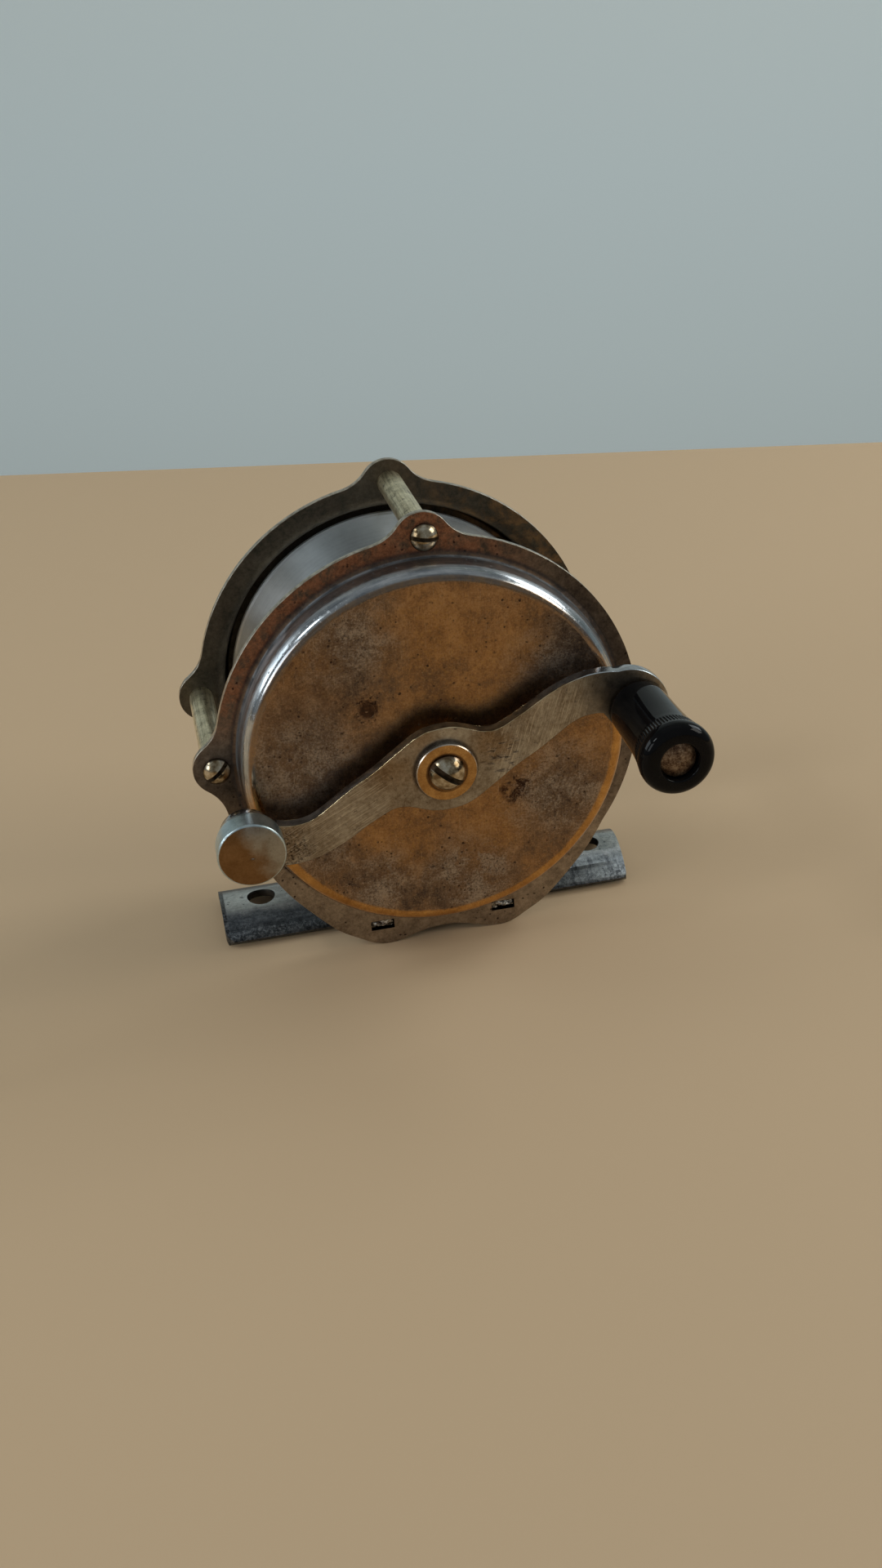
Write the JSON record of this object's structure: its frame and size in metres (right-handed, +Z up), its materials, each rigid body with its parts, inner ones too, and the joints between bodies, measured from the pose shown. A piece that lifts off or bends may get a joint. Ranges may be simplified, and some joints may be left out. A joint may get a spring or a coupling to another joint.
{
  "type": "fly reel",
  "caption": "Single-action fly reel: two stamped round side plates joined by pillars, a plain spool, an S-shaped crank with black knob and counterweight, and a curved sheet foot.",
  "frame": {"origin": "centre of the two screw holes of the foot, at mid thickness of the foot's crown", "axes": "+X along the foot towards the knob end, +Y from the crank side to the click side, +Z up from the foot to the spool axis"},
  "size_m": [0.0664, 0.0587, 0.0654],
  "materials": {
    "side_plate": "tarnished nickel worn through to brown brass, fine scratches and dark pits",
    "pillar": "dull nickel plating",
    "screw": "polished nickel",
    "foot_sheet": "dull zinc grey sheet with rough cut edges",
    "bearing_brass": "warm worn brass",
    "spring_steel": "bare steel",
    "spool_metal": "turned nickel plated metal",
    "crank_metal": "cross brushed, worn nickel over brass",
    "weight_metal": "satin nickel, browned",
    "rivet_metal": "brown tarnished rivet",
    "knob_plastic": "black gloss moulded plastic"
  },
  "bodies": {
    "frame": {"front_plate": "side_plate", "back_plate": "side_plate", "top_pillar": "pillar", "left_pillar": "pillar", "right_pillar": "pillar", "pillar_screws_front": "screw", "pillar_screws_rear": "screw", "foot": "foot_sheet", "front_bush": "bearing_brass", "bearing_bridge": "bearing_brass", "bridge_rivets": "bearing_brass", "rear_bush": "bearing_brass", "end_cap": "screw", "click_spring": "spring_steel", "spring_rivets": "bearing_brass"},
    "spool": {"spool_arbor": "spool_metal", "spool_flange_front": "spool_metal", "spool_flange_rear": "spool_metal", "spool_shaft": "spring_steel", "click_wheel": "bearing_brass", "crank_plate": "crank_metal", "crank_washer": "bearing_brass", "crank_screw": "screw", "counterweight": "weight_metal", "knob_rivet": "rivet_metal", "knob_washer": "bearing_brass"},
    "knob": {"knob": "knob_plastic"},
    "click_slider": {"click_button": "weight_metal"},
    "click_pawl": {"click_pawl": "spring_steel"}
  },
  "joints": [
    {"name": "spool_spin", "type": "hinge", "parent": "frame", "child": "spool", "pos_m": [0, 0, 0.0289], "axis": [0, 1, 0], "continuous": true},
    {"name": "knob_spin", "type": "hinge", "parent": "spool", "child": "knob", "pos_m": [0.02712, -0.03, 0.0339], "axis": [0, 1, 0], "continuous": true},
    {"name": "click_slide", "type": "slide", "parent": "frame", "child": "click_slider", "axis": [0, 0, 1], "range_m": [0, 0.0022]},
    {"name": "pawl_rock", "type": "hinge", "parent": "click_slider", "child": "click_pawl", "pos_m": [0, 0.0147, 0.0413], "axis": [0, 1, 0], "range_deg": [-8, 8]}
  ]
}
